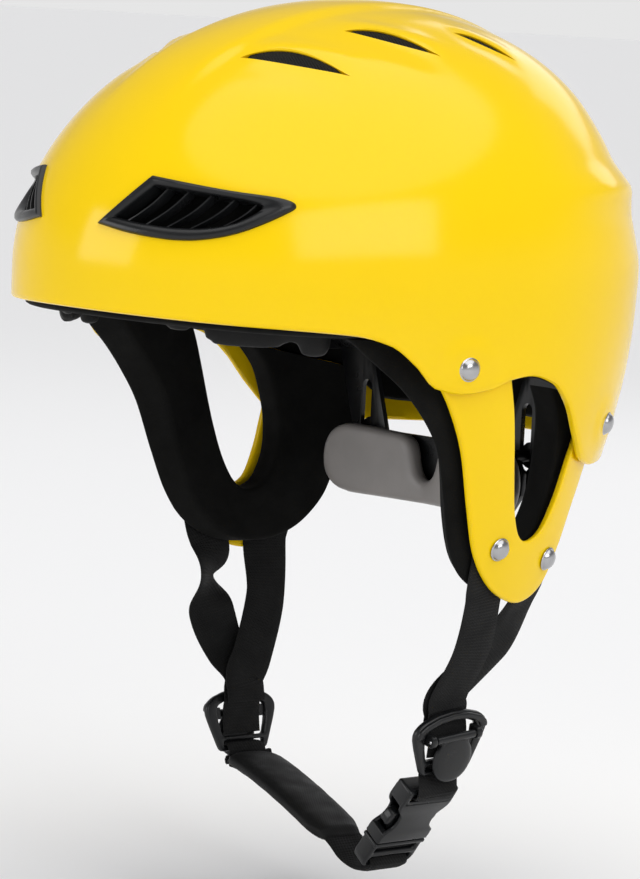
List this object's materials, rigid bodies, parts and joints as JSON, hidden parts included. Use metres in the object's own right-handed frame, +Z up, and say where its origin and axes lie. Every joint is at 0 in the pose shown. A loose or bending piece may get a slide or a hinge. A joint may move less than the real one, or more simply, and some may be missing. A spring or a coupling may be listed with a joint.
{
  "type": "water sports helmet",
  "caption": "Gloss shell water sports helmet with riveted ear guards, foam liner, hung rear cradle and a four-point chin harness with a side-release buckle.",
  "frame": {"origin": "middle of the crown comfort pad's flat underside, where the helmet rests on the crown of the head", "axes": "+Z up, the front of the helmet towards -Y, the wearer's left side towards +X"},
  "size_m": [0.22, 0.273, 0.3487],
  "materials": {
    "shell_yellow": "gloss",
    "black_plastic": "satin moulded",
    "grey_rubber": "soft satin",
    "black_foam": "closed-cell foam, matt",
    "black_mesh": "fine open mesh",
    "black_webbing": "ribbed webbing",
    "black_fabric": "brushed knit",
    "rivet_steel": "polished"
  },
  "bodies": {
    "helmet": {"outer_shell": "shell_yellow", "foam_liner": "black_foam", "crown_pad": "black_fabric", "front_pad": "black_fabric", "front_vent_left": "black_plastic", "front_vent_right": "black_plastic", "crown_mesh_left": "black_mesh", "crown_mesh_right": "black_mesh", "ear_guard_left": "shell_yellow", "ear_guard_right": "shell_yellow", "ear_foam_left": "black_foam", "ear_foam_right": "black_foam", "shell_front_rivet_left": "rivet_steel", "shell_front_rivet_right": "rivet_steel", "shell_rear_rivet_left": "rivet_steel", "shell_rear_rivet_right": "rivet_steel", "guard_front_rivet_left": "rivet_steel", "guard_front_rivet_right": "rivet_steel", "guard_rear_rivet_left": "rivet_steel", "guard_rear_rivet_right": "rivet_steel", "hanger_pin_left": "black_plastic", "hanger_pin_right": "black_plastic"},
    "hanger": {"hanger_arm_left": "black_plastic", "hanger_arm_right": "black_plastic"},
    "cradle": {"rear_cradle": "black_plastic", "height_stud_left": "black_plastic", "height_stud_right": "black_plastic", "cradle_pad_left": "grey_rubber", "cradle_pad_right": "grey_rubber"},
    "harness": {"front_strap_left": "black_webbing", "front_strap_right": "black_webbing", "rear_strap_left": "black_webbing", "rear_strap_right": "black_webbing", "strap_divider_left": "black_plastic", "strap_divider_right": "black_plastic", "lever_pin_left": "rivet_steel", "lever_pin_right": "rivet_steel", "chin_strap_left": "black_webbing", "chin_strap_right": "black_webbing", "chin_sleeve": "black_fabric", "buckle_female": "black_plastic"},
    "lever_left": {"cam_lever_left": "black_plastic"},
    "lever_right": {"cam_lever_right": "black_plastic"},
    "buckle_insert": {"buckle_male": "black_plastic"},
    "prong_front": {"buckle_prong_front": "black_plastic"},
    "prong_rear": {"buckle_prong_rear": "black_plastic"}
  },
  "joints": [
    {"name": "hanger_swing", "type": "hinge", "parent": "helmet", "child": "hanger", "pos_m": [0, 0.0569, -0.117], "axis": [1, 0, 0], "range_deg": [-12, 6]},
    {"name": "cradle_height", "type": "slide", "parent": "hanger", "child": "cradle", "axis": [0, 0, 1], "range_m": [-0.003, 0.015]},
    {"name": "harness_swing", "type": "hinge", "parent": "helmet", "child": "harness", "pos_m": [0, 0.0034, -0.1853], "axis": [1, 0, 0], "range_deg": [-10, 10], "deforming": ["front_strap_left", "front_strap_right", "rear_strap_left", "rear_strap_right"]},
    {"name": "buckle_latch_play", "type": "slide", "parent": "harness", "child": "buckle_insert", "axis": [-0.6, 0, -0.8], "range_m": [0, 0.0014], "deforming": ["chin_strap_right", "chin_sleeve"]},
    {"name": "prong_front_squeeze", "type": "hinge", "parent": "buckle_insert", "child": "prong_front", "pos_m": [0.0419, -0.0024, -0.3088], "axis": [-0.8, 0, 0.6], "range_deg": [0, 13], "stiffness_Nm_per_rad": 0.4},
    {"name": "prong_rear_squeeze", "type": "hinge", "parent": "buckle_insert", "child": "prong_rear", "pos_m": [0.0419, 0.0124, -0.3088], "axis": [0.8, 0, -0.6], "range_deg": [0, 13]},
    {"name": "lever_left_open", "type": "hinge", "parent": "harness", "child": "lever_left", "pos_m": [0.07266, 0.00593, -0.26362], "axis": [-0.0226, -0.9953, -0.0941], "range_deg": [0, 60]},
    {"name": "lever_right_open", "type": "hinge", "parent": "harness", "child": "lever_right", "pos_m": [-0.07304, 0.015, -0.2782], "axis": [0, 1, 0], "range_deg": [0, 60]}
  ],
  "couplings": [
    {"joint": "prong_rear_squeeze", "follows": "prong_front_squeeze", "ratio": 1}
  ]
}
